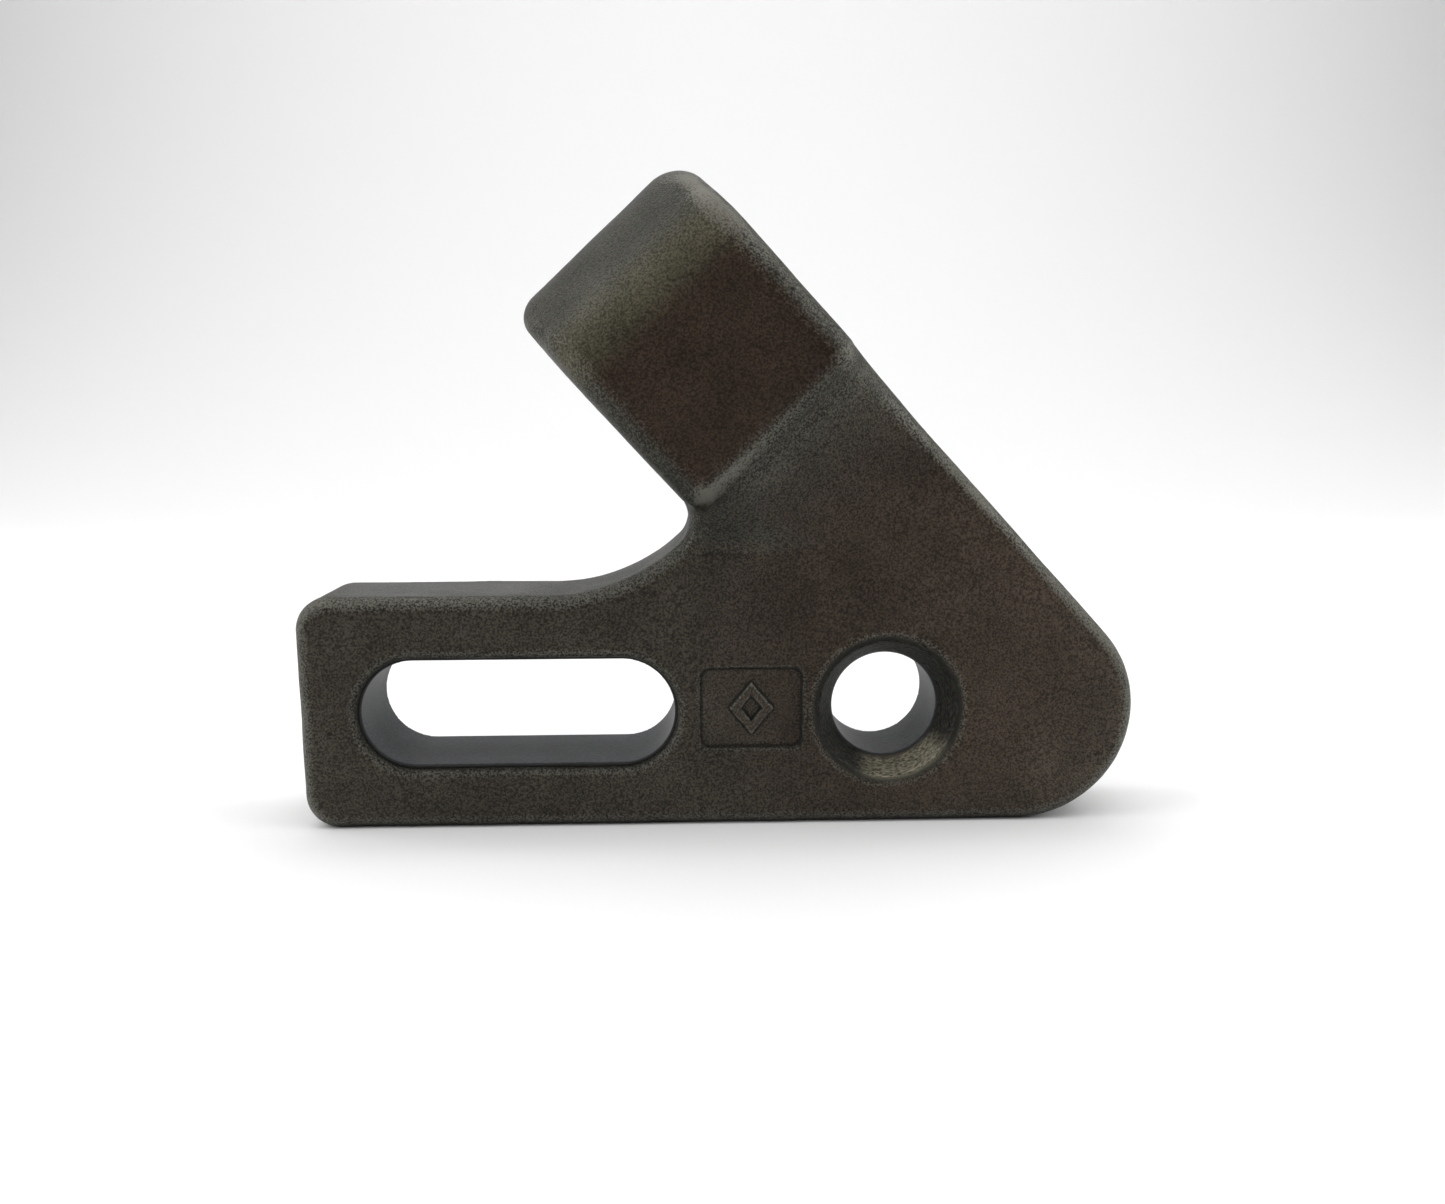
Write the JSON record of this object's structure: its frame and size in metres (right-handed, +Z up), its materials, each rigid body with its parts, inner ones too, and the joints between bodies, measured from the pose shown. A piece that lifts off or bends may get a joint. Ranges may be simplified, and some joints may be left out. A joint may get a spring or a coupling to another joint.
{
  "type": "bolt-on hooked tooth",
  "caption": "Cast steel bolt-on tooth: a flat plate with a slotted arm and a countersunk bolt hole, and a thick raked leg with a bevelled tip.",
  "frame": {"origin": "axis of the round bolt hole, at the flat back face", "axes": "+X along the arm towards the heel, -Y out of the front face, +Z up, away from the bottom edge"},
  "size_m": [0.1017, 0.0196, 0.078],
  "materials": {
    "cast_steel": "shot-blasted cast skin"
  },
  "bodies": {
    "root": {"tooth_casting": "cast_steel"}
  },
  "joints": []
}
